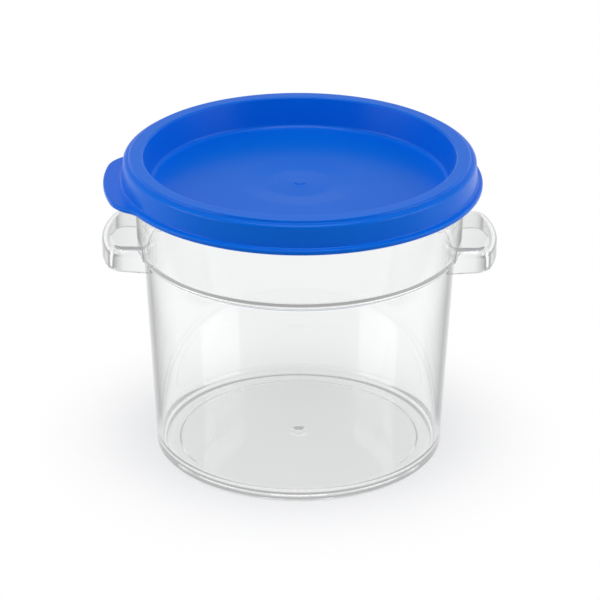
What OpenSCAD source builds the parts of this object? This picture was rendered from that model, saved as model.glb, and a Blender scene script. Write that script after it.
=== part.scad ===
// Round dough proofing container, about 2 litres: a clear moulded tub with two
// grip handles, and a one-piece push-on lid with a pull tab.
// Millimetres, +Z up. The origin is the centre of the foot, on the surface the
// tub stands on. The handles lie along X and the lid's tab points along -X.

/* [Tub] */
// Height of the tub from the table to its rim
body_h = 141.5; // [110:0.5:190]
// Thickness of the tub's side wall
wall = 2.4; // [1.8:0.1:3.2]
// Thickness of the floor over the foot
floor_t = 3; // [2:0.1:5]
// Outer diameter of the wall at the table
base_d = 132.8; // [120:0.2:136]
// Outer diameter of the tapered wall just under the step
waist_d = 142.8; // [138:0.2:145]
// Outer diameter of the collar just above the step
collar_d = 148.6; // [146.4:0.2:149.4]
// Outer diameter of the collar under the rim
neck_d = 150.4; // [150:0.2:156]
// Height of the step between wall and collar
step_z = 99.8; // [85:0.2:102]
// Outer rounding where the wall meets the foot
base_r = 2.2; // [1:0.1:3]
// Inner rounding where the wall meets the floor
floor_r = 5; // [3:0.5:9]
// Outer diameter of the hollow under the floor, inside the foot ring
foot_d = 112; // [90:1:118]
// Depth of the hollow under the floor
foot_depth = 0.8; // [0.4:0.1:1.5]

/* [Rim] */
// How far the rim's lip stands out from the neck
lip_out = 1.2; // [0.8:0.1:1.8]
// Height of the rim's lip
lip_h = 3.2; // [2.4:0.1:4.4]

/* [Handles] */
// Size of the tub across both handles
grip_span = 180.8; // [176:0.2:188]
// Width of a handle along the tub's side
grip_w = 50; // [40:1:58]
// Depth of a handle's skirt at its outer end, from roof to lower edge
grip_h = 10.4; // [8:0.2:14]
// Upward slope of a handle's lower edge from the tub outwards, in degrees
grip_lift = 3.5; // [0:0.5:6]
// Height of a handle's roof above the table
grip_top = 106.4; // [100:0.2:112]
// Thickness of a handle's roof and skirt
grip_wall = 2.2; // [1.6:0.1:2.8]
// Plan radius of a handle's outer end
grip_end_r = 57; // [45:1:80]
// Plan radius of a handle's two corners
grip_corner_r = 8; // [6:0.5:10]
// Rounding along the edge of a handle's roof
grip_edge_r = 4; // [3:0.1:4.5]

/* [Lid] */
// Thickness of the lid's walls
lid_wall = 1.5; // [1.1:0.1:1.9]
// Outer diameter of the lid at its shoulder
shoulder_d = 160; // [159:0.2:164]
// Outer diameter of the skirt just above the flange
skirt_d = 161.8; // [160.8:0.2:164.4]
// Outer diameter of the flange round the lid's lower edge
flange_d = 166.2; // [165.4:0.2:171]
// Thickness of the flange and the tab
flange_t = 2.2; // [1.6:0.1:3]
// Height of the lid from the flange's lower face to the crest
lid_h = 14; // [12.4:0.1:16]
// Outer diameter of the raised crest on top of the lid
crest_d = 154.4; // [150:0.2:155.4]
// Drop from the crest to the shoulder beside it
crest_drop = 1.1; // [0.6:0.1:1.4]
// Depth of the recess in the lid, below the crest
recess_depth = 14.1; // [8:0.1:18]
// How much narrower the recess is at its floor, on the diameter
recess_draft = 6; // [2:0.2:9]
// Diameter of the small moulding gate mark in the middle of the recess
gate_d = 4.4; // [2:0.2:7]
// Height of the moulding gate marks
gate_h = 0.3; // [0.2:0.1:0.6]

/* [Tab] */
// Reach of the pull tab from the lid's axis
tab_reach = 89.2; // [87:0.1:93]
// Half of the tab's angle, where its round corners begin
tab_half_deg = 13.5; // [9:0.5:24]
// How far the tab is turned from the line of the handles, in degrees
tab_turn = 4.5; // [-12:0.5:12]
// Plan radius of the tab's two round corners
tab_r = 18; // [8:0.5:22]
// Plan radius of the blends between tab and flange
tab_blend_r = 11; // [5:0.5:14]

/* [Fits] */
// Gap between the lid's plug and the inside of the rim
plug_gap = 0.3; // [0.2:0.05:0.6]
// Gap between the rim and the roof of the lid's channel
seat_gap = 0.2; // [0.1:0.05:0.4]
// Gap between the rim's lip and the bead that holds it
snap_gap = 0.3; // [0.2:0.05:0.6]
// How far the bead stands in from the skirt's inner face
bead_in = 1.6; // [1:0.1:2]

/* [Hidden] */
// How far the tab's outline starts inside the flange's edge
tab_sink = 0.04;

$fn = 180;
ARC_STEPS = 6;
HULL_FN = 32;
EDGE_STEPS = 4;
CUT = 1; // how far a cutting solid runs past the face it cuts

// Radii of the tub, from its diameters
base_rad = base_d / 2;
waist_rad = waist_d / 2;
collar_rad = collar_d / 2;
neck_rad = neck_d / 2;
foot_rad = foot_d / 2;
lip_rad = neck_rad + lip_out;
step_h = 2.2; // height of the ledge that joins wall and collar
neck_h = 7; // height of the straight neck under the rim

// The handle, from its outer face inwards
grip_x = grip_span / 2;
grip_arc_x = grip_x - grip_end_r;
grip_low = grip_top - grip_h;
grip_root_x = base_rad - 2 * wall; // the handle's block starts inside the tub

// The lid, from the rim that it closes
lid_top = body_h + seat_gap + lid_wall;
lid_low = lid_top - lid_h;
plug_rad = neck_rad - wall - plug_gap;
recess_rad = plug_rad - lid_wall;
recess_floor_z = lid_top - recess_depth;
recess_floor_rad = recess_rad - recess_draft / 2;
crest_rad = crest_d / 2;
shoulder_rad = shoulder_d / 2;
skirt_rad = skirt_d / 2;
flange_rad = flange_d / 2;
bead_rad = lip_rad + snap_gap;
channel_rad = bead_rad + bead_in;
bead_z = body_h - lip_h - snap_gap; // the bead's upper flank is just under the lip
channel_r = 2.4; // rounding in the roof of the channel, outside

// Direction from a to b, with length 1
function toward(a, b) = (b - a) / norm(b - a);

// Points of the arc of radius r that rounds the corner b between a and c
function corner(a, b, c, r) =
    let(u = toward(b, a), v = toward(b, c))
    let(half = acos(u * v) / 2)
    let(centre = b + toward([0, 0], u + v) * r / sin(half))
    let(p = b + u * r / tan(half) - centre, q = b + v * r / tan(half) - centre)
    let(start = atan2(p.y, p.x), turn = atan2(p.x * q.y - p.y * q.x, p * q))
    [for (i = [0:ARC_STEPS]) let(t = start + turn * i / ARC_STEPS) centre + r * [cos(t), sin(t)]];

// Outline through corners [x, y, rounding]
function rounded(corners) =
    let(n = len(corners), at = [for (k = corners) [k.x, k.y]])
    [for (i = [0:n - 1])
        each corners[i][2] == 0 ? [at[i]]
            : corner(at[(i + n - 1) % n], at[i], at[(i + 1) % n], corners[i][2])];

// Half section of the tub's outer surface, from the axis out and up
function tub_outside() = [
    [0, foot_depth, 0],
    [foot_rad - foot_depth, foot_depth, 0],
    [foot_rad, 0, 0],
    [base_rad, 0, base_r],
    [waist_rad, step_z - step_h, 1.2],
    [collar_rad, step_z, 0.8],
    [neck_rad, body_h - neck_h, 2],
    [neck_rad, body_h - lip_h - lip_out, 0.3],
    [lip_rad, body_h - lip_h, 0.4],
    [lip_rad, body_h, 1.2],
];

// Half section of the tub's inner surface, from the rim down and in
function tub_inside() = [
    [neck_rad - wall, body_h, 0.7],
    [neck_rad - wall, body_h - neck_h, 2],
    [collar_rad - wall, step_z + wall * 0.8, 1.2],
    [waist_rad - wall, step_z - step_h + wall * 0.8, 0.8],
    [base_rad - wall + (waist_rad - base_rad) * floor_t / step_z, floor_t, floor_r],
    [0, floor_t, 0],
];

// The tub out to the middle of its wall, where the handles' walls end
module tub_core() {
    rotate_extrude() polygon([
        [0, 0], [base_rad - wall / 2, 0], [waist_rad - wall / 2, step_z - step_h + wall * 0.4],
        [collar_rad - wall / 2, step_z + wall * 0.4], [neck_rad - wall / 2, body_h], [0, body_h],
    ]);
}

// Plan of a handle on the +X side, drawn in from its outer face by inset.
// Its outer end is an arc that meets the two round corners smoothly.
module grip_plan(inset) {
    r = grip_corner_r - inset;
    end_r = grip_end_r - inset;
    side = grip_w / 2 - grip_corner_r; // half the distance between the corner centres
    corner_x = grip_arc_x + sqrt((end_r - r) * (end_r - r) - side * side);
    spread = asin(side / (end_r - r));
    for (s = [-1, 1]) translate([corner_x, s * side]) circle(r, $fn = HULL_FN);
    translate([grip_root_x, -side - r]) square([corner_x - grip_root_x, 2 * (side + r)]);
    intersection() {
        translate([grip_arc_x, 0]) circle(end_r, $fn = 4 * HULL_FN);
        translate([grip_arc_x, 0]) polygon([[0, 0], 2 * end_r * [cos(spread), sin(spread)],
            2 * end_r * [cos(spread), -sin(spread)]]);
    }
}

// A handle's block: a sloping lower face at z0 and a roof with a rounded edge at z1
module grip_block(inset, edge_r, z0, z1) {
    slice = 0.02;
    rise = tan(grip_lift);
    hull() {
        multmatrix([[1, 0, 0, 0], [0, 1, 0, 0], [rise, 0, 1, z0 - rise * grip_x]])
            linear_extrude(slice) grip_plan(inset);
        for (i = [0:EDGE_STEPS]) {
            t = 90 * i / EDGE_STEPS;
            translate([0, 0, z1 - edge_r + edge_r * sin(t) - slice])
                linear_extrude(slice) grip_plan(inset + edge_r * (1 - cos(t)));
        }
    }
}

// One hollow handle, open below, on the +X side
module grip() {
    difference() {
        grip_block(0, grip_edge_r, grip_low, grip_top);
        grip_block(grip_wall, grip_edge_r - grip_wall, grip_low - 2 * CUT, grip_top - grip_wall);
        tub_core();
    }
}

// The tub: wall, collar, rim, floor and both handles in one moulding
module container() {
    color([0.93, 0.95, 0.97, 0.45]) {
        rotate_extrude() polygon(rounded(concat(tub_outside(), tub_inside())));
        for (side = [0, 180]) rotate([0, 0, side]) grip();
    }
}

// Half section of the lid, from the axis over the top and back underneath
function lid_section() = [
    [0, recess_floor_z, 0],
    [recess_floor_rad, recess_floor_z, 2.5],
    [recess_rad, lid_top, 1],
    [crest_rad, lid_top, 0.5],
    [crest_rad + 0.3, lid_top - crest_drop, 0.4],
    [shoulder_rad, lid_top - crest_drop - 0.3, 1.7],
    [skirt_rad, lid_low + flange_t + 0.3, 0.8],
    [flange_rad, lid_low + flange_t, 0.8],
    [flange_rad, lid_low, 0.7],
    [channel_rad + 1, lid_low, 0.4],
    [channel_rad, bead_z - 3 * bead_in, 0.5],
    [bead_rad, bead_z - bead_in, 0.6],
    [bead_rad, bead_z - 0.2, 0.2],
    [channel_rad, bead_z + bead_in * 0.6, 0.3],
    [channel_rad, lid_top - lid_wall, channel_r],
    [plug_rad, lid_top - lid_wall, 0.4],
    [recess_floor_rad + lid_wall, recess_floor_z - lid_wall, 3.2],
    [0, recess_floor_z - lid_wall, 0],
];

// Points of an arc in plan, without its first point
function arc(at, r, from, to, n) =
    [for (i = [1:n]) at + r * [cos(from + (to - from) * i / n), sin(from + (to - from) * i / n)]];

// Half outline of the tab, from the flange out to its middle: a hollow blend, a
// round corner, then a wider arc about the lid's axis
function tab_half() =
    let (
        a = tab_reach - tab_r,
        b = flange_rad - tab_sink + tab_blend_r,
        reach = tab_r + tab_blend_r,
        blend_deg = tab_half_deg + acos((a * a + b * b - reach * reach) / (2 * a * b)),
        corner_at = a * [cos(tab_half_deg), sin(tab_half_deg)],
        blend_at = b * [cos(blend_deg), sin(blend_deg)],
        turn = 360 + atan2(corner_at.y - blend_at.y, corner_at.x - blend_at.x)
    )
    concat(
        [(flange_rad - tab_sink) * [cos(blend_deg), sin(blend_deg)]],
        arc(blend_at, tab_blend_r, 180 + blend_deg, turn, 8),
        arc(corner_at, tab_r, turn - 180, tab_half_deg, 10),
        arc([0, 0], tab_reach, tab_half_deg, 0, 10)
    );

// Plan of the tab: its half outline and the mirror image of it
module tab_plan() {
    half = tab_half();
    last = len(half) - 1;
    difference() {
        polygon(concat([[0, 0]], half, [for (i = [1:last]) [half[last - i].x, -half[last - i].y]]));
        circle(skirt_rad - lid_wall / 2);
    }
}

// The lid: recess, crest, shoulder, skirt, flange and tab in one moulding
module lid() {
    color([0.05, 0.36, 0.85]) {
        rotate_extrude() polygon(rounded(lid_section()));
        rotate([0, 0, 180 + tab_turn]) translate([0, 0, lid_low]) linear_extrude(flange_t) tab_plan();
        translate([0, 0, recess_floor_z - gate_h]) cylinder(h = 2 * gate_h, d = gate_d);
    }
}

container();
lid();
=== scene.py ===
"""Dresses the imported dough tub: a clear moulded tub with two grips and a blue push-on lid.

Lengths are in metres, +Z up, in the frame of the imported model. The grips lie
along X and the lid's pull tab points along -X, a few degrees towards -Y.
"""

import logging
import math
from dataclasses import dataclass, field
from enum import Enum
from typing import Sequence

import bmesh
import bpy
from mathutils import Matrix, Vector


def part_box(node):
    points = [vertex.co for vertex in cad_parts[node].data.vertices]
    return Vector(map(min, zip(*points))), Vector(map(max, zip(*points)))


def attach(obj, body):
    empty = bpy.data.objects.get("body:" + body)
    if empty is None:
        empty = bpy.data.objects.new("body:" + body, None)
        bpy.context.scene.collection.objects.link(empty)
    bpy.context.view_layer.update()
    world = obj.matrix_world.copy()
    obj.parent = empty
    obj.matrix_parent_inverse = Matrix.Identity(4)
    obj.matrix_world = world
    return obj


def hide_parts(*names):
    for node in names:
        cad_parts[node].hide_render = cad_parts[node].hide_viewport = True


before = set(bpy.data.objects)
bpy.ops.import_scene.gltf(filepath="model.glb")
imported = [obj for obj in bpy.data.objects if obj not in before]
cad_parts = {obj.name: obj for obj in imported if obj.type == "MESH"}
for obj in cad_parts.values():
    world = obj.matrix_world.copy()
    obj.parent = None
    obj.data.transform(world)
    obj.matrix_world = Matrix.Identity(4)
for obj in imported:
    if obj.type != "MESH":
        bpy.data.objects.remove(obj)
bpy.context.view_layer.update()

MM = 0.001
SHARP_DEG = 32.0
LOG = logging.getLogger("dough_tub")
UP = Vector((0, 0, 1))


class Body(Enum):
    """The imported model's moving bodies."""

    TUB = "container"
    LID = "lid"


class Slot(Enum):
    """The record's material slots."""

    CLEAR = "clear_polycarbonate"
    BLUE = "blue_polyethylene"


def linear(hex_colour: str) -> tuple[float, float, float, float]:
    """Turns an sRGB hex colour into Blender's linear colour.

    Args:
        hex_colour: six hex digits, such as "1C5BD8".

    Returns:
        Linear red, green and blue, with an alpha of 1.
    """
    parts = [int(hex_colour[i : i + 2], 16) / 255 for i in (0, 2, 4)]
    out = [c / 12.92 if c <= 0.04045 else ((c + 0.055) / 1.055) ** 2.4 for c in parts]
    return out[0], out[1], out[2], 1.0


def add_node(
    tree: bpy.types.NodeTree,
    kind: str,
    settings: dict[str, object] | None = None,
    inputs: dict[str | int, object] | None = None,
) -> bpy.types.Node:
    """Adds one shader node.

    Args:
        tree: the node tree to add to.
        kind: the node's Blender type name.
        settings: attributes to set on the node.
        inputs: socket name or number to a value, or to an output socket to link.

    Returns:
        The new node.
    """
    node = tree.nodes.new(kind)
    for name, value in (settings or {}).items():
        setattr(node, name, value)
    for key, value in (inputs or {}).items():
        if isinstance(value, bpy.types.NodeSocket):
            tree.links.new(value, node.inputs[key])
        else:
            node.inputs[key].default_value = value
    return node


def new_material(name: str) -> tuple[bpy.types.Material, bpy.types.NodeTree, bpy.types.Node]:
    """Makes an empty node material.

    Args:
        name: the material's name.

    Returns:
        The material, its node tree and its output node.
    """
    material = bpy.data.materials.new(name)
    material.use_nodes = True
    tree = material.node_tree
    tree.nodes.clear()
    return material, tree, tree.nodes.new("ShaderNodeOutputMaterial")


# Finishes


@dataclass(frozen=True)
class ClearPolycarbonate:
    """Injection-moulded clear polycarbonate: water-clear, glossy, with bright and dark edges; the dark edges
    are partly painted by a grey glow.
    """

    tint: str = "FCFDFD"
    ior: float = 1.585
    roughness: float = 0.0
    shade: str = "F2F2F2"
    inner_turns: float = 2.5
    # strength of the painted grey glow in the wall's edges
    painted_wall_tone: float = 0.42

    def material(self) -> bpy.types.Material:
        """Builds the shader of the clear wall."""
        material, tree, out = new_material("clear_polycarbonate")
        shader = add_node(
            tree,
            "ShaderNodeBsdfPrincipled",
            inputs={
                "Base Color": linear(self.tint),
                "Roughness": self.roughness,
                "IOR": self.ior,
                "Transmission Weight": 1.0,
            },
        )
        # Clear plastic casts almost no shadow, so shadow rays and soft bounces pass straight through.
        path = add_node(tree, "ShaderNodeLightPath")
        passes = add_node(
            tree,
            "ShaderNodeMath",
            settings={"operation": "MAXIMUM"},
            inputs={0: path.outputs["Is Shadow Ray"], 1: path.outputs["Is Diffuse Ray"]},
        )
        through = add_node(tree, "ShaderNodeBsdfTransparent", inputs={"Color": linear(self.shade)})
        mix = add_node(
            tree,
            "ShaderNodeMixShader",
            inputs={0: passes.outputs[0], 1: shader.outputs["BSDF"], 2: through.outputs["BSDF"]},
        )
        # Painted light: after a few glossy bounces inside the wall, the wall shows a flat grey glow (an
        # emission) in place of the light that would come out there.
        many = add_node(
            tree,
            "ShaderNodeMath",
            settings={"operation": "GREATER_THAN"},
            inputs={0: path.outputs["Glossy Depth"], 1: self.inner_turns},
        )
        even = add_node(tree, "ShaderNodeEmission", inputs={"Strength": self.painted_wall_tone})
        wall_or_painted_glow = add_node(
            tree,
            "ShaderNodeMixShader",
            inputs={0: many.outputs[0], 1: mix.outputs["Shader"], 2: even.outputs["Emission"]},
        )
        tree.links.new(wall_or_painted_glow.outputs["Shader"], out.inputs["Surface"])
        return material


@dataclass(frozen=True)
class BluePolyethylene:
    """Injection-moulded blue polyethylene: satin, slightly waxy, with a very fine moulded skin."""

    colour: str = "006FEA"
    deep_colour: str = "0069E0"
    ior: float = 1.51
    roughness: float = 0.28
    gloss: float = 0.16
    skin_grain_mm: float = 1.2  # the real grain is near 0.1 mm; drawn as coarse as it needs to show
    flow_mm: float = 60.0
    turns: float = 2.5
    # strength of the painted pale glow on the lid
    painted_lid_glow: float = 0.6

    def material(self) -> bpy.types.Material:
        """Builds the shader of the lid."""
        material, tree, out = new_material("blue_polyethylene")
        place = add_node(tree, "ShaderNodeTexCoord").outputs["Object"]
        flow = add_node(
            tree,
            "ShaderNodeTexNoise",
            inputs={"Vector": place, "Scale": 1 / (self.flow_mm * MM), "Detail": 2.0, "Roughness": 0.5},
        )
        tone = add_node(
            tree,
            "ShaderNodeMix",
            settings={"data_type": "RGBA"},
            inputs={0: flow.outputs["Fac"], 6: linear(self.colour), 7: linear(self.deep_colour)},
        )
        grain = add_node(
            tree,
            "ShaderNodeTexNoise",
            inputs={"Vector": place, "Scale": 1 / (self.skin_grain_mm * MM), "Detail": 3.0},
        )
        bump = add_node(
            tree,
            "ShaderNodeBump",
            inputs={"Strength": 0.05, "Distance": 0.05 * MM, "Height": grain.outputs["Fac"]},
        )
        shader = add_node(
            tree,
            "ShaderNodeBsdfPrincipled",
            inputs={
                "Base Color": tone.outputs[2],
                "Roughness": self.roughness,
                "IOR": self.ior,
                "Specular IOR Level": self.gloss,
                "Normal": bump.outputs["Normal"],
            },
        )
        # Painted light: rays that reach the lid after a few bends inside the clear wall see a pale grey glow
        # (an emission) in place of the lid's blue glints.
        path = add_node(tree, "ShaderNodeLightPath")
        deep = add_node(
            tree,
            "ShaderNodeMath",
            settings={"operation": "GREATER_THAN"},
            inputs={0: path.outputs["Ray Depth"], 1: self.turns},
        )
        painted_pale_glow = add_node(tree, "ShaderNodeEmission", inputs={"Strength": self.painted_lid_glow})
        mix = add_node(
            tree,
            "ShaderNodeMixShader",
            inputs={0: deep.outputs[0], 1: shader.outputs["BSDF"], 2: painted_pale_glow.outputs["Emission"]},
        )
        tree.links.new(mix.outputs["Shader"], out.inputs["Surface"])
        return material


@dataclass(frozen=True)
class StudioWhite:
    """White seamless paper: the eye sees plain white, and the object's shadow stays on it."""

    paper: str = "E8E8E6"
    shadow_share: float = 0.42
    glow: float = 0.60
    # colour of the painted dark reflection in front of the tub
    dark: str = "101010"
    near_m: float = 0.055
    far_m: float = 0.135
    wall_m: float = 0.069
    side_slope: tuple[float, float] = (0.03, 0.42)
    # strength of the painted grey bands seen through the wall's edges
    painted_band_tone: float = 0.27
    side_start: tuple[float, float] = (0.0, 0.02)
    side_end: tuple[float, float] = (0.22, 0.15)
    front_from_m: float = -0.22
    front_to_m: float = -0.10

    def material(self) -> bpy.types.Material:
        """Builds the shader of the floor: lit paper, lifted to white where it is looked at."""
        material, tree, out = new_material("studio_white")
        path = add_node(tree, "ShaderNodeLightPath").outputs
        seen = self.math(tree, "MAXIMUM", path["Is Camera Ray"], path["Is Transmission Ray"])
        seen = self.math(tree, "MAXIMUM", seen, path["Is Glossy Ray"])
        place = add_node(tree, "ShaderNodeTexCoord").outputs["Object"]
        axes = add_node(tree, "ShaderNodeSeparateXYZ", inputs={0: place}).outputs
        away = add_node(
            tree, "ShaderNodeVectorMath", settings={"operation": "LENGTH"}, inputs={0: place}
        ).outputs["Value"]
        far = self.fade(tree, away, self.near_m, self.far_m)
        front = self.fade(tree, axes["Y"], self.front_to_m, self.front_from_m)
        lit = add_node(tree, "ShaderNodeBsdfDiffuse", inputs={"Color": linear(self.paper)})
        grey = [self.shadow_share] * 3 + [1.0]
        shaded = add_node(tree, "ShaderNodeBsdfDiffuse", inputs={"Color": grey})
        glow = add_node(tree, "ShaderNodeEmission", inputs={"Strength": self.glow})
        lifted = add_node(tree, "ShaderNodeAddShader", inputs={0: shaded.outputs[0], 1: glow.outputs[0]})
        white = add_node(tree, "ShaderNodeEmission", inputs={"Strength": 1.0})
        table = self.mix(tree, far, lifted.outputs[0], white.outputs[0])
        # Painted reflection: mirror rays see the paper in front of the tub as near-black, which paints dark
        # reflections on the front of the tub and lid.
        dark = add_node(tree, "ShaderNodeBsdfDiffuse", inputs={"Color": linear(self.dark)})
        mirrored = self.math(tree, "SUBTRACT", path["Is Glossy Ray"], path["Is Transmission Ray"])
        painted_dark_share = self.math(tree, "MULTIPLY", front, self.math(tree, "MAXIMUM", mirrored, 0.0))
        table = self.mix(tree, painted_dark_share, table, dark.outputs[0])
        # Painted shade: to both sides behind the tub, rays bent through the clear wall's edges see the paper
        # as a grey glow, which paints dark bands along the wall's edges.
        off_axis = self.math(tree, "ABSOLUTE", axes["X"], 0.0)
        sideways = self.math(tree, "SUBTRACT", off_axis, self.wall_m)
        behind = self.math(tree, "MAXIMUM", axes["Y"], 0.004)
        aside = self.fade(tree, self.math(tree, "DIVIDE", sideways, behind), *self.side_slope)
        painted_band_share = self.math(tree, "MULTIPLY", aside, path["Is Transmission Ray"])
        for place_on, span in ((off_axis, self.side_end), (axes["Y"], self.side_start)):
            painted_band_share = self.math(tree, "MULTIPLY", painted_band_share, self.fade(tree, place_on, *span))
        painted_band_glow = add_node(tree, "ShaderNodeEmission", inputs={"Strength": self.painted_band_tone})
        table = self.mix(tree, painted_band_share, table, painted_band_glow.outputs[0])
        tree.links.new(self.mix(tree, seen, lit.outputs[0], table), out.inputs["Surface"])
        return material

    def math(
        self, tree: bpy.types.NodeTree, operation: str, a: bpy.types.NodeSocket,
        b: bpy.types.NodeSocket | float,
    ) -> bpy.types.NodeSocket:
        """Combines two numbers in the shader."""
        return add_node(tree, "ShaderNodeMath", {"operation": operation}, {0: a, 1: b}).outputs[0]

    def mix(
        self, tree: bpy.types.NodeTree, share: bpy.types.NodeSocket, a: bpy.types.NodeSocket,
        b: bpy.types.NodeSocket,
    ) -> bpy.types.NodeSocket:
        """Mixes shader a with shader b."""
        return add_node(tree, "ShaderNodeMixShader", inputs={0: share, 1: a, 2: b}).outputs[0]

    def fade(
        self, tree: bpy.types.NodeTree, value: bpy.types.NodeSocket, start: float, end: float
    ) -> bpy.types.NodeSocket:
        """Fades from 0 at start to 1 at end."""
        return add_node(
            tree,
            "ShaderNodeMapRange",
            {"interpolation_type": "SMOOTHSTEP"},
            {"Value": value, "From Min": start, "From Max": end},
        ).outputs["Result"]


# Mesh helpers


@dataclass(frozen=True)
class Corner:
    """A corner of a half section: distance from the axis, height and the length cut off each side."""

    r: float
    z: float
    cut: float = 0.0


def chain(bm: bmesh.types.BMesh, corners: Sequence[Corner], segments: int = 6) -> None:
    """Draws a half section in the XZ plane as a chain of edges with rounded corners.

    Args:
        bm: the empty mesh to draw in.
        corners: the corners in order, the first and the last on the axis.
        segments: how many edges round each corner.
    """
    verts = [bm.verts.new((c.r * MM, 0, c.z * MM)) for c in corners]
    for a, b in zip(verts, verts[1:]):
        bm.edges.new((a, b))
    for vert, corner in zip(verts, corners):
        if corner.cut:
            bmesh.ops.bevel(
                bm, geom=[vert], offset=corner.cut * MM, offset_type="OFFSET", segments=segments,
                profile=0.5, affect="VERTICES", clamp_overlap=False, material=-1,
            )


def spin_solid(bm: bmesh.types.BMesh, steps: int) -> None:
    """Spins the chain in bm once round Z into a closed, outward-facing solid.

    Args:
        bm: the mesh that holds the chain.
        steps: the number of steps of the full turn.
    """
    bmesh.ops.spin(
        bm, geom=bm.verts[:] + bm.edges[:], cent=(0, 0, 0), axis=UP, angle=math.tau, steps=steps,
        use_merge=True, use_duplicate=False,
    )
    bmesh.ops.remove_doubles(bm, verts=bm.verts[:], dist=1e-7)
    bmesh.ops.recalc_face_normals(bm, faces=bm.faces[:])


def radius_cut(before: Sequence[float], at: Sequence[float], after: Sequence[float], radius: float) -> float:
    """Length that a round of the given radius takes off each side of a corner.

    Args:
        before: the corner before, as (r, z).
        at: the corner itself.
        after: the corner after.
        radius: the round's radius, in the corners' unit.

    Returns:
        The tangent length, in the same unit.
    """
    a = (Vector(before) - Vector(at)).normalized()
    b = (Vector(after) - Vector(at)).normalized()
    half = a.angle(b) / 2
    return radius / math.tan(half)


def rounded(points: Sequence[tuple[float, float, float]]) -> list[Corner]:
    """Turns (r, z, radius) corners into corners with their cut lengths.

    Args:
        points: the corners, with the radius of each one's round.

    Returns:
        The same corners, ready for chain().
    """
    out = []
    for i, (r, z, radius) in enumerate(points):
        cut = 0.0
        if radius and 0 < i < len(points) - 1:
            cut = radius_cut(points[i - 1][:2], (r, z), points[i + 1][:2], radius)
        out.append(Corner(r, z, cut))
    return out


def to_object(bm: bmesh.types.BMesh, name: str, crease_deg: float = 32) -> bpy.types.Object:
    """Turns a bmesh into a smooth-shaded object at the origin.

    Args:
        bm: the finished bmesh, freed here.
        name: the object's name.
        crease_deg: edges sharper than this stay sharp.

    Returns:
        The new object, linked to the scene.
    """
    mesh = bpy.data.meshes.new(name)
    bm.to_mesh(mesh)
    bm.free()
    mesh.shade_smooth()
    mesh.set_sharp_from_angle(angle=math.radians(crease_deg))
    piece = bpy.data.objects.new(name, mesh)
    bpy.context.scene.collection.objects.link(piece)
    return piece


def combine(piece: bpy.types.Object, other: bpy.types.Object, operation: str) -> None:
    """Joins or cuts piece with other and removes other.

    Args:
        piece: the object that keeps the result.
        other: the object used up.
        operation: UNION, DIFFERENCE or INTERSECT.
    """
    modifier = piece.modifiers.new(operation.lower(), "BOOLEAN")
    modifier.operation = operation
    modifier.solver = "EXACT"
    modifier.object = other
    bpy.context.view_layer.update()
    shown = piece.evaluated_get(bpy.context.evaluated_depsgraph_get())
    mesh = bpy.data.meshes.new_from_object(shown)
    piece.modifiers.clear()
    old = piece.data
    piece.data = mesh
    bpy.data.meshes.remove(old)
    bpy.data.objects.remove(other)


def even_normals(piece: bpy.types.Object) -> None:
    """Lets large faces keep their own normals beside small rounds, so that flats stay flat."""
    modifier = piece.modifiers.new("even_normals", "WEIGHTED_NORMAL")
    modifier.mode = "FACE_AREA"
    modifier.weight = 100
    modifier.keep_sharp = True


def surface(piece: bpy.types.Object, material: bpy.types.Material) -> None:
    """Gives a piece smooth faces with sharp edges, and its one material."""
    piece.data.shade_smooth()
    piece.data.set_sharp_from_angle(angle=math.radians(SHARP_DEG))
    even_normals(piece)
    piece.data.materials.clear()
    piece.data.materials.append(material)


def draw_arcs(
    bm: bmesh.types.BMesh, last: bmesh.types.BMVert, turns: Sequence[tuple[Vector, float, int]]
) -> bmesh.types.BMVert:
    """Draws arcs in plan, one after another.

    Args:
        bm: the mesh to draw in.
        last: where the first arc starts.
        turns: each arc's centre in millimetres, its angle and its number of edges.

    Returns:
        The vertex at the end of the last arc.
    """
    for centre, angle, steps in turns:
        made = bmesh.ops.spin(bm, geom=[last], cent=centre * MM, axis=UP, angle=angle, steps=steps)
        last = [v for v in made["geom_last"] if isinstance(v, bmesh.types.BMVert)][0]
    return last


# The tub


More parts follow.
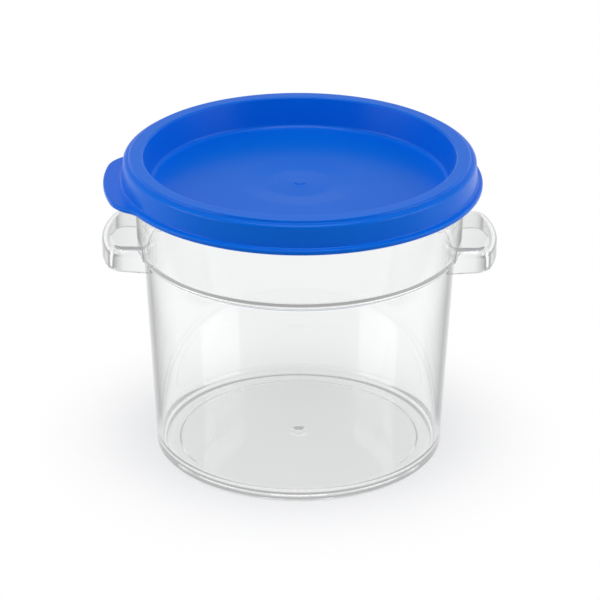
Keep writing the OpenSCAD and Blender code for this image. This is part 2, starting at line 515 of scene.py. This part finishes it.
@dataclass
class Grip:
    """One hollow side grip, open below. Sizes in millimetres."""

    span: float
    top: float
    width: float = 50.0
    depth: float = 10.4
    lift_deg: float = 3.5
    wall: float = 2.2
    end_radius: float = 57.0
    corner_radius: float = 8.0
    edge_radius: float = 4.0
    root_x: float = 61.0

    def outline(self, bm: bmesh.types.BMesh, inset: float) -> bmesh.types.BMFace:
        """Draws the plan of the grip's block as one face at z = 0.

        Args:
            bm: the mesh to draw in.
            inset: how far the plan is drawn in from the outer face.

        Returns:
            The face.
        """
        end = self.end_radius - inset
        corner = self.corner_radius - inset
        side = self.width / 2 - self.corner_radius
        centre_x = self.span / 2 - self.end_radius
        corner_x = centre_x + math.sqrt((end - corner) ** 2 - side**2)
        spread = math.asin(side / (end - corner))
        old = set(bm.verts)
        start = bm.verts.new((self.root_x * MM, -(side + corner) * MM, 0))
        last = bm.verts.new((corner_x * MM, -(side + corner) * MM, 0))
        bm.edges.new((start, last))
        last = draw_arcs(bm, last, (
            (Vector((corner_x, -side, 0)), math.pi / 2 - spread, 10),
            (Vector((centre_x, 0, 0)), 2 * spread, 24),
            (Vector((corner_x, side, 0)), math.pi / 2 - spread, 10),
        ))
        back = bm.verts.new((self.root_x * MM, (side + corner) * MM, 0))
        bm.edges.new((last, back))
        bm.edges.new((back, start))
        edges = {e for v in bm.verts if v not in old for e in v.link_edges}
        return bmesh.ops.contextual_create(bm, geom=list(edges))["faces"][0]

    def block(self, inset: float, edge_radius: float, low: float, high: float) -> bmesh.types.BMesh:
        """Builds the grip's block on the +X side.

        Args:
            inset: how far the block is drawn in from the outer face.
            edge_radius: rounding along the roof's edge.
            low: height of the lower face at the outer end.
            high: height of the roof.

        Returns:
            The block as a bmesh.
        """
        bm = bmesh.new()
        face = self.outline(bm, inset)
        made = bmesh.ops.extrude_face_region(bm, geom=[face])
        roof = [v for v in made["geom"] if isinstance(v, bmesh.types.BMVert)]
        bmesh.ops.translate(bm, verts=roof, vec=(0, 0, high * MM))
        rise = math.tan(math.radians(self.lift_deg))
        for vert in bm.verts:
            if vert.co.z < MM:
                vert.co.z = low * MM + rise * (vert.co.x - self.span / 2 * MM)
        rim = [e for e in bm.edges if all(v in roof for v in e.verts)]
        rim = [e for e in rim if max(v.co.x for v in e.verts) > (self.root_x + 1) * MM]
        bmesh.ops.bevel(
            bm, geom=rim, offset=edge_radius * MM, offset_type="OFFSET", segments=8, profile=0.5,
            affect="EDGES", clamp_overlap=False, material=-1,
        )
        bmesh.ops.recalc_face_normals(bm, faces=bm.faces[:])
        return bm


@dataclass
class ClearTub:
    """The clear tub with its two grips, one moulding. Sizes in millimetres."""

    height: float
    grip_span: float
    wall: float = 2.4
    floor: float = 3.0
    base_radius: float = 66.4
    waist_radius: float = 71.4
    collar_radius: float = 74.3
    neck_radius: float = 75.2
    step_z: float = 99.8
    step_height: float = 2.2
    neck_height: float = 7.0
    lip_out: float = 1.2
    lip_height: float = 3.2
    base_round: float = 2.2
    floor_round: float = 5.0
    foot_radius: float = 56.0
    foot_depth: float = 0.8
    gate_radius: float = 5.2
    gate_depth: float = 0.5
    grip_top: float = 106.4
    steps: int = 256
    finish: ClearPolycarbonate = field(default_factory=ClearPolycarbonate)

    def outer_corners(self) -> list[tuple[float, float, float]]:
        """Corners of the outer surface, from the axis out and up."""
        return [
            (0, self.foot_depth, 0),
            (self.foot_radius - self.foot_depth, self.foot_depth, 0.3),
            (self.foot_radius, 0, 0.3),
            (self.base_radius, 0, self.base_round),
            (self.waist_radius, self.step_z - self.step_height, 1.2),
            (self.collar_radius, self.step_z, 0.8),
            (self.neck_radius, self.height - self.neck_height, 2),
            (self.neck_radius, self.height - self.lip_height - self.lip_out, 0.3),
            (self.neck_radius + self.lip_out, self.height - self.lip_height, 0.4),
            (self.neck_radius + self.lip_out, self.height, 1.2),
        ]

    def inner_corners(self) -> list[tuple[float, float, float]]:
        """Corners of the inner surface, from the rim down to the gate mark in the floor."""
        ledge = self.wall * 0.8
        slope = (self.waist_radius - self.base_radius) * self.floor / self.step_z
        return [
            (self.neck_radius - self.wall, self.height, 0.7),
            (self.neck_radius - self.wall, self.height - self.neck_height, 2),
            (self.collar_radius - self.wall, self.step_z + ledge, 1.2),
            (self.waist_radius - self.wall, self.step_z - self.step_height + ledge, 0.8),
            (self.base_radius - self.wall + slope, self.floor, self.floor_round),
            (self.gate_radius, self.floor, 0.8),
            (self.gate_radius * 0.45, self.floor - self.gate_depth, 0.8),
            (0, self.floor - self.gate_depth * 0.3, 0),
        ]

    def core(self) -> bpy.types.Object:
        """The tub out to the middle of its wall, which the grips stop at."""
        half = self.wall / 2
        bm = bmesh.new()
        chain(bm, [
            Corner(0, 0),
            Corner(self.base_radius - half, 0),
            Corner(self.waist_radius - half, self.step_z - self.step_height + self.wall * 0.4),
            Corner(self.collar_radius - half, self.step_z + self.wall * 0.4),
            Corner(self.neck_radius - half, self.height),
            Corner(0, self.height),
        ])
        spin_solid(bm, self.steps)
        return to_object(bm, "tub_core")

    def grip(self, side: int) -> bpy.types.Object:
        """Builds one grip.

        Args:
            side: 1 for the +X grip, -1 for the -X grip.

        Returns:
            The grip, from the middle of the tub's wall outwards.
        """
        shape = Grip(span=self.grip_span, top=self.grip_top)
        low = shape.top - shape.depth
        outer = to_object(shape.block(0, shape.edge_radius, low, shape.top), "grip_outer")
        hollow = shape.block(shape.wall, shape.edge_radius - shape.wall, low - 2, shape.top - shape.wall)
        combine(outer, to_object(hollow, "grip_hollow"), "DIFFERENCE")
        combine(outer, self.core(), "DIFFERENCE")
        if side < 0:
            outer.data.transform(Matrix.Rotation(math.pi, 4, "Z"))
        return outer

    def build(self) -> bpy.types.Object:
        """Builds the tub, dresses it and puts it in place of its CAD solid."""
        bm = bmesh.new()
        chain(bm, rounded(self.outer_corners() + self.inner_corners()))
        spin_solid(bm, self.steps)
        tub = to_object(bm, "clear_tub")
        for side in (1, -1):
            grip = self.grip(side)
            combine(tub, grip, "UNION")
        surface(tub, self.finish.material())
        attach(tub, Body.TUB.value)
        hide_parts("container")
        return tub


# The lid


@dataclass
class PushOnLid:
    """The blue lid with recess, crest, shoulder, skirt, flange and pull tab. Sizes in millimetres."""

    top: float
    tab_reach: float
    depth: float = 14.0
    wall: float = 1.5
    recess_floor: float = 129.1
    recess_floor_radius: float = 68.0
    recess_radius: float = 71.0
    crest_radius: float = 77.2
    crest_drop: float = 1.1
    shoulder_radius: float = 80.0
    skirt_radius: float = 80.9
    flange_radius: float = 83.1
    flange: float = 2.2
    bead_radius: float = 76.7
    channel_radius: float = 78.3
    plug_radius: float = 72.5
    bead_z: float = 138.0
    dish_radius: float = 26.0
    dish_depth: float = 0.35
    gate_radius: float = 2.2
    gate_height: float = 0.3
    tab_half_deg: float = 13.5
    tab_turn: float = 4.5
    tab_corner: float = 18.0
    tab_blend: float = 11.0
    tab_edge: float = 0.7
    tab_root_share: float = 0.93
    steps: int = 256
    finish: BluePolyethylene = field(default_factory=BluePolyethylene)

    @property
    def low(self) -> float:
        """Height of the flange's lower face."""
        return self.top - self.depth

    def corners(self) -> list[tuple[float, float, float]]:
        """Corners of the lid's section, from the axis over the top and back underneath."""
        bead_in = self.channel_radius - self.bead_radius
        return [
            (0, self.recess_floor + self.gate_height, 0),
            (self.gate_radius, self.recess_floor + self.gate_height, 0.25),
            (self.gate_radius + 0.4, self.recess_floor - self.dish_depth * 0.2, 0.4),
            (self.dish_radius * 0.6, self.recess_floor - self.dish_depth, 30),
            (self.dish_radius, self.recess_floor, 30),
            (self.recess_floor_radius, self.recess_floor, 2.5),
            (self.recess_radius, self.top, 1.0),
            (self.crest_radius, self.top, 0.5),
            (self.crest_radius + 0.3, self.top - self.crest_drop, 0.4),
            (self.shoulder_radius, self.top - self.crest_drop - 0.3, 1.7),
            (self.skirt_radius, self.low + self.flange + 0.3, 0.8),
            (self.flange_radius, self.low + self.flange, 0.8),
            (self.flange_radius, self.low, 0.7),
            (self.channel_radius + 1, self.low, 0.4),
            (self.channel_radius, self.bead_z - 3 * bead_in, 0.5),
            (self.bead_radius, self.bead_z - bead_in, 0.6),
            (self.bead_radius, self.bead_z - 0.2, 0.2),
            (self.channel_radius, self.bead_z + bead_in * 0.6, 0.3),
            (self.channel_radius, self.top - self.wall, 2.4),
            (self.plug_radius, self.top - self.wall, 0.4),
            (self.recess_floor_radius + self.wall, self.recess_floor - self.wall, 3.2),
            (0, self.recess_floor - self.wall, 0),
        ]

    def tab(self) -> bpy.types.Object:
        """Builds the pull tab with its two blends into the flange."""
        half = math.radians(self.tab_half_deg)
        a = self.tab_reach - self.tab_corner
        b = self.flange_radius + self.tab_blend
        reach = self.tab_corner + self.tab_blend
        blend = half + math.acos((a * a + b * b - reach * reach) / (2 * a * b))
        corner_at = Vector((a * math.cos(half), a * math.sin(half), 0))
        blend_at = Vector((b * math.cos(blend), b * math.sin(blend), 0))
        start = blend_at * (self.flange_radius / b)
        blend_turn = (-blend_at).angle(corner_at - blend_at)
        corner_turn = (blend_at - corner_at).angle(corner_at)
        bm = bmesh.new()
        root = start * self.tab_root_share
        first = bm.verts.new(root * MM)
        last = bm.verts.new(start * MM)
        bm.edges.new((first, last))
        mirrored = Vector((1, -1, 1))
        last = draw_arcs(bm, last, (
            (blend_at, blend_turn, 10),
            (corner_at, -corner_turn, 10),
            (Vector((0, 0, 0)), -2 * half, 30),
            (corner_at * mirrored, -corner_turn, 10),
            (blend_at * mirrored, blend_turn, 10),
        ))
        end = bm.verts.new(root * mirrored * MM)
        bm.edges.new((last, end))
        bm.edges.new((end, first))
        face = bmesh.ops.contextual_create(bm, geom=bm.edges[:])["faces"][0]
        made = bmesh.ops.extrude_face_region(bm, geom=[face])
        roof = [v for v in made["geom"] if isinstance(v, bmesh.types.BMVert)]
        bmesh.ops.translate(bm, verts=bm.verts[:], vec=(0, 0, self.low * MM))
        bmesh.ops.translate(bm, verts=roof, vec=(0, 0, self.flange * MM))
        rim = [
            e for e in bm.edges
            if abs(e.verts[0].co.z - e.verts[1].co.z) < 1e-6 and max(v.co.x for v in e.verts) > start.x * MM
        ]
        bmesh.ops.bevel(
            bm, geom=rim, offset=self.tab_edge * MM, offset_type="OFFSET", segments=4, profile=0.5,
            affect="EDGES", clamp_overlap=False, material=-1,
        )
        bmesh.ops.recalc_face_normals(bm, faces=bm.faces[:])
        turn = Matrix.Rotation(math.pi + math.radians(self.tab_turn), 3, "Z")
        bmesh.ops.rotate(bm, verts=bm.verts[:], cent=(0, 0, 0), matrix=turn)
        tab = to_object(bm, "tab")
        inner = bmesh.new()
        bmesh.ops.create_cone(
            inner, cap_ends=True, segments=self.steps, radius1=(self.skirt_radius - self.wall / 2) * MM,
            radius2=(self.skirt_radius - self.wall / 2) * MM, depth=40 * MM,
            matrix=Matrix.Translation((0, 0, self.low * MM)),
        )
        combine(tab, to_object(inner, "tab_limit"), "DIFFERENCE")
        return tab

    def build(self) -> bpy.types.Object:
        """Builds the lid, dresses it and puts it in place of its CAD solid."""
        bm = bmesh.new()
        chain(bm, rounded(self.corners()))
        spin_solid(bm, self.steps)
        lid = to_object(bm, "snap_lid")
        combine(lid, self.tab(), "UNION")
        surface(lid, self.finish.material())
        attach(lid, Body.LID.value)
        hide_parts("lid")
        return lid


# The studio


@dataclass
class Studio:
    """White floor, soft light and the photograph's camera. Lengths in metres."""

    frame_px: int = 600
    focal_px: float = 3200.0
    sensor_mm: float = 36.0
    elevation_deg: float = 24.62
    distance: float = 1.4788
    target: tuple[float, float, float] = (0.00036, 0.0, 0.07032)
    roll_deg: float = 0.22
    floor_size: float = 6.0
    behind_y: tuple[float, float] = (-0.45, 0.15)
    backdrop_z: tuple[float, float] = (0.20, 0.50)
    backdrop_light: float = 1.0
    room_light: float = 0.25
    gap_light: float = 0.06
    clear_lift: float = 0.4
    paper: StudioWhite = field(default_factory=StudioWhite)

    def floor(self) -> None:
        """Lays the white floor under the tub."""
        bm = bmesh.new()
        bmesh.ops.create_grid(bm, x_segments=1, y_segments=1, size=self.floor_size / 2)
        floor = to_object(bm, "studio_floor")
        floor.data.materials.append(self.paper.material())
        floor.location.z = -0.0002

    def world(self) -> None:
        """Hangs a white backdrop behind the tub, in a grey room that is dark towards the camera."""
        world = bpy.data.worlds.new("studio_world")
        bpy.context.scene.world = world
        world.use_nodes = True
        tree = world.node_tree
        tree.nodes.clear()
        out = tree.nodes.new("ShaderNodeOutputWorld")
        towards = add_node(tree, "ShaderNodeTexCoord").outputs["Generated"]
        axes = add_node(tree, "ShaderNodeSeparateXYZ", inputs={0: towards}).outputs
        backdrop = self.level(tree, axes["Z"], self.backdrop_z, self.backdrop_light, self.room_light)
        behind = self.level(tree, axes["Y"], self.behind_y, 0.0, 1.0)
        room = self.blend(tree, behind, self.gap_light, backdrop)
        path = add_node(tree, "ShaderNodeLightPath")
        lifted = self.blend(tree, self.clear_lift, room, 1.0)
        room = self.blend(tree, path.outputs["Is Transmission Ray"], room, lifted)
        strength = self.blend(tree, path.outputs["Is Camera Ray"], room, 1.0)
        back = add_node(
            tree, "ShaderNodeBackground", inputs={"Color": linear("FFFFFF"), "Strength": strength}
        )
        tree.links.new(back.outputs["Background"], out.inputs["Surface"])

    def level(
        self, tree: bpy.types.NodeTree, value: bpy.types.NodeSocket, span: tuple[float, float],
        low: float, high: float,
    ) -> bpy.types.NodeSocket:
        """Eases from low to high while value crosses span."""
        return add_node(
            tree,
            "ShaderNodeMapRange",
            {"interpolation_type": "SMOOTHSTEP"},
            {"Value": value, "From Min": span[0], "From Max": span[1], "To Min": low, "To Max": high},
        ).outputs["Result"]

    def blend(
        self, tree: bpy.types.NodeTree, share: bpy.types.NodeSocket, a: object, b: object
    ) -> bpy.types.NodeSocket:
        """Blends number a into number b by share."""
        return add_node(tree, "ShaderNodeMix", {"data_type": "FLOAT"}, {0: share, 2: a, 3: b}).outputs[0]

    def lamp(
        self, name: str, at: tuple[float, float, float], size: tuple[float, float], power: float
    ) -> None:
        """Hangs one soft box that looks at the tub.

        Args:
            name: the lamp's name.
            at: where it hangs.
            size: width and height of its face.
            power: its power in watts.
        """
        data = bpy.data.lights.new(name, "AREA")
        data.shape = "RECTANGLE"
        data.size, data.size_y = size
        data.energy = power
        lamp = bpy.data.objects.new(name, data)
        lamp.location = at
        lamp.rotation_euler = (Vector((0, 0, 0.08)) - Vector(at)).to_track_quat("-Z", "Y").to_euler()
        bpy.context.scene.collection.objects.link(lamp)

    def camera(self) -> None:
        """Sets the camera at the photograph's height, distance and roll."""
        elevation = math.radians(self.elevation_deg)
        back = Vector((0, -math.cos(elevation), math.sin(elevation)))
        right = Vector((1, 0, 0))
        up = right.cross(-back)
        roll = math.radians(self.roll_deg)
        side = right * math.cos(roll) + up * math.sin(roll)
        top = up * math.cos(roll) - right * math.sin(roll)
        turn = Matrix((side, top, back)).transposed().to_4x4()
        data = bpy.data.cameras.new("studio_camera")
        data.sensor_width = self.sensor_mm
        data.lens = self.focal_px / self.frame_px * self.sensor_mm
        data.clip_start, data.clip_end = 0.01, 30
        camera = bpy.data.objects.new("studio_camera", data)
        camera.matrix_world = Matrix.Translation(Vector(self.target) + back * self.distance) @ turn
        bpy.context.scene.collection.objects.link(camera)
        bpy.context.scene.camera = camera

    def build(self) -> None:
        """Sets up the whole studio."""
        self.floor()
        self.world()
        self.lamp("top_box", (0.0, -0.3, 1.7), (1.1, 1.1), 13.6)
        for side, name in ((-1, "left_box"), (1, "right_box")):
            self.lamp(name, (1.2 * side, -0.4, 0.5), (0.9, 0.9), 6.5)
        self.camera()
        bpy.context.scene.view_settings.view_transform = "Standard"


def main() -> None:
    """Builds the studio, the tub and the lid."""
    logging.basicConfig(level=logging.INFO)
    Studio().build()
    tub_low, tub_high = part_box("container")
    lid_low, lid_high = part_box("lid")
    pieces = [
        ClearTub(height=tub_high.z / MM, grip_span=(tub_high.x - tub_low.x) / MM).build(),
        PushOnLid(top=lid_high.z / MM, tab_reach=-lid_low.x / MM).build(),
    ]
    for piece in pieces:
        LOG.info("%s: %d faces", piece.name, len(piece.data.polygons))


if __name__ == "__main__":
    main()
